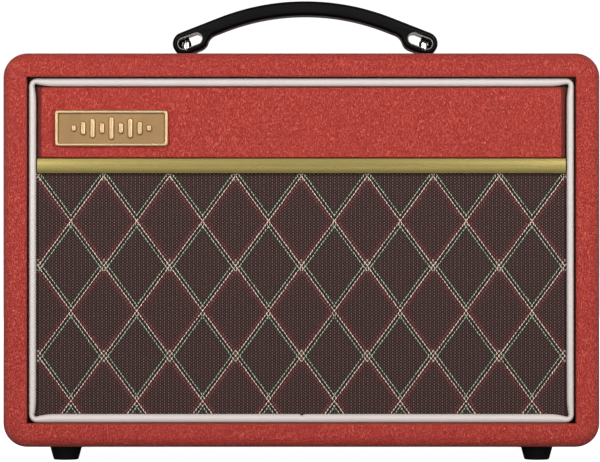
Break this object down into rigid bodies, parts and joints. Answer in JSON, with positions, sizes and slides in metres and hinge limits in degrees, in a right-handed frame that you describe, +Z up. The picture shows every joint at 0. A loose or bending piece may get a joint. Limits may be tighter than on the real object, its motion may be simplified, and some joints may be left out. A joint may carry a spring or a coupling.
{
  "type": "guitar amplifier",
  "caption": "Small guitar amplifier in a red covered cabinet with cream piping, a woven grille, a gold strip, a strap handle and controls recessed in its top.",
  "frame": {"origin": "on the ground under the middle of the cabinet", "axes": "+X to the right seen from the front, +Y towards the back, +Z up"},
  "size_m": [0.38, 0.17, 0.2973],
  "materials": {
    "covering": "embossed leatherette, red",
    "ply": "raw birch plywood",
    "piping_cream": "smooth cream piping",
    "cloth": "woven grille cloth",
    "panel_core": "raw board",
    "gold_trim": "satin gold",
    "badge_gold": "satin gold plate",
    "black_rubber": "matt",
    "strap": "moulded, fine grain",
    "spring_steel": "bright strip",
    "chrome": "polished",
    "zinc_screw": "zinc plated",
    "black_screw": "black oxide",
    "basket_black": "black enamel",
    "gasket_card": "pressed card",
    "cone_paper": "pressed paper pulp",
    "surround_cloth": "treated cloth",
    "spider_cloth": "resin-treated cloth",
    "coil_copper": "wound copper on card former",
    "ferrite": "matt dark ferrite",
    "plated_steel": "zinc plated",
    "tag_board": "pressed fibre with tinned lugs",
    "wire_pair": "insulated wire",
    "chassis_zinc": "zinc plated sheet",
    "fascia_black": "satin black",
    "pcb": "green solder mask",
    "capacitor": "shrink sleeve",
    "heatsink_black": "black anodised",
    "laminations": "varnished laminations",
    "coil_tape": "tape over windings",
    "switch_black": "moulded black",
    "jack_black": "moulded black with metal bush",
    "knob_black": "moulded, with a pale pointer line",
    "shaft_metal": "turned",
    "lamp_red": "red lens"
  },
  "bodies": {
    "cabinet": {"left_side_board": "ply", "right_side_board": "ply", "top_board": "ply", "bottom_board": "ply", "vinyl_covering": "covering", "cabinet_battens": "ply", "baffle_board": "ply", "grille_cloth": "cloth", "front_panel_board": "panel_core", "front_panel_vinyl": "covering", "trim_strip": "gold_trim", "piping": "piping_cream", "badge": "badge_gold", "upper_back_panel": "covering", "lower_back_panel": "covering", "panel_screws": "black_screw", "wood_screws": "zinc_screw", "rubber_feet": "black_rubber", "handle_posts": "chrome", "handle_ferrules": "chrome", "handle_nuts": "zinc_screw", "speaker_basket": "basket_black", "speaker_gasket": "gasket_card", "speaker_surround": "surround_cloth", "spider": "spider_cloth", "speaker_top_plate": "plated_steel", "speaker_magnet": "ferrite", "speaker_yoke": "plated_steel", "speaker_terminals": "tag_board", "speaker_bolts": "zinc_screw", "speaker_leads": "wire_pair", "chassis": "chassis_zinc", "control_panel": "fascia_black", "circuit_board": "pcb", "capacitors": "capacitor", "heatsink": "heatsink_black", "transformer_core": "laminations", "transformer_coil": "coil_tape", "mains_inlet": "switch_black", "potentiometers": "plated_steel", "panel_nuts": "chrome", "jack_sockets": "jack_black", "power_switch_body": "switch_black", "channel_switch_body": "jack_black", "pilot_lamp": "lamp_red"},
    "cone": {"speaker_cone": "cone_paper", "dust_cap": "cone_paper", "voice_coil": "coil_copper"},
    "rocker": {"power_rocker": "switch_black"},
    "button": {"channel_button": "knob_black"},
    "handle": {"handle_strap": "strap", "handle_core": "spring_steel"},
    "gain_control": {"knob_gain": "knob_black", "shaft_gain": "shaft_metal"},
    "volume_control": {"knob_volume": "knob_black", "shaft_volume": "shaft_metal"},
    "treble_control": {"knob_treble": "knob_black", "shaft_treble": "shaft_metal"},
    "bass_control": {"knob_bass": "knob_black", "shaft_bass": "shaft_metal"}
  },
  "joints": [
    {"name": "gain_turn", "type": "hinge", "parent": "cabinet", "child": "gain_control", "pos_m": [-0.058, 0.047, 0.25], "axis": [0, 0, 1], "range_deg": [-150, 150]},
    {"name": "volume_turn", "type": "hinge", "parent": "cabinet", "child": "volume_control", "pos_m": [-0.022, 0.047, 0.25], "axis": [0, 0, 1], "range_deg": [-150, 150]},
    {"name": "treble_turn", "type": "hinge", "parent": "cabinet", "child": "treble_control", "pos_m": [0.014, 0.047, 0.25], "axis": [0, 0, 1], "range_deg": [-150, 150]},
    {"name": "bass_turn", "type": "hinge", "parent": "cabinet", "child": "bass_control", "pos_m": [0.05, 0.047, 0.25], "axis": [0, 0, 1], "range_deg": [-150, 150]},
    {"name": "power_rock", "type": "hinge", "parent": "cabinet", "child": "rocker", "pos_m": [0.128, 0.047, 0.2469], "axis": [1, 0, 0], "range_deg": [-20, 0]},
    {"name": "channel_press", "type": "slide", "parent": "cabinet", "child": "button", "axis": [0, 0, -1], "range_m": [0, 0.003], "stiffness_N_per_m": 300, "springref_m": -0.001},
    {"name": "cone_travel", "type": "slide", "parent": "cabinet", "child": "cone", "axis": [0, 1, 0], "range_m": [-0.0025, 0.0025], "stiffness_N_per_m": 1500, "deforming": ["speaker_surround", "spider"]},
    {"name": "handle_rock", "type": "hinge", "parent": "cabinet", "child": "handle", "pos_m": [0.0025, -0.012, 0.2643], "axis": [1, 0, 0], "range_deg": [-3, 3]}
  ]
}
